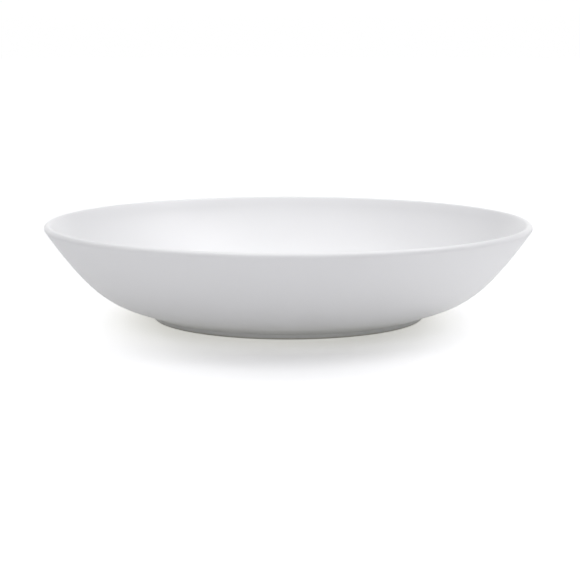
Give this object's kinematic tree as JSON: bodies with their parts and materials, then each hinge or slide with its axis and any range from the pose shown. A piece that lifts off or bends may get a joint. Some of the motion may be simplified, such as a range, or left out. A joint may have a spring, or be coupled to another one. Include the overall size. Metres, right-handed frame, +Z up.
{
  "type": "pasta serving bowl",
  "caption": "Wide, shallow round serving bowl in white glazed ceramic, with a softly rounded lip, a curved flaring wall and a low foot ring, for serving pasta at the table.",
  "frame": {"origin": "on the table, at the centre of the foot ring's bearing face", "axes": "+Z up along the bowl's axis of revolution; the picture is taken from the -Y side"},
  "size_m": [0.33, 0.33, 0.065],
  "materials": {
    "clay": "bare fired clay, matt",
    "glaze": "white glaze, soft gloss"
  },
  "bodies": {
    "root": {"bowl_body": "clay", "foot_ring": "clay", "glaze_coat": "glaze", "base_glaze": "glaze"}
  },
  "joints": []
}
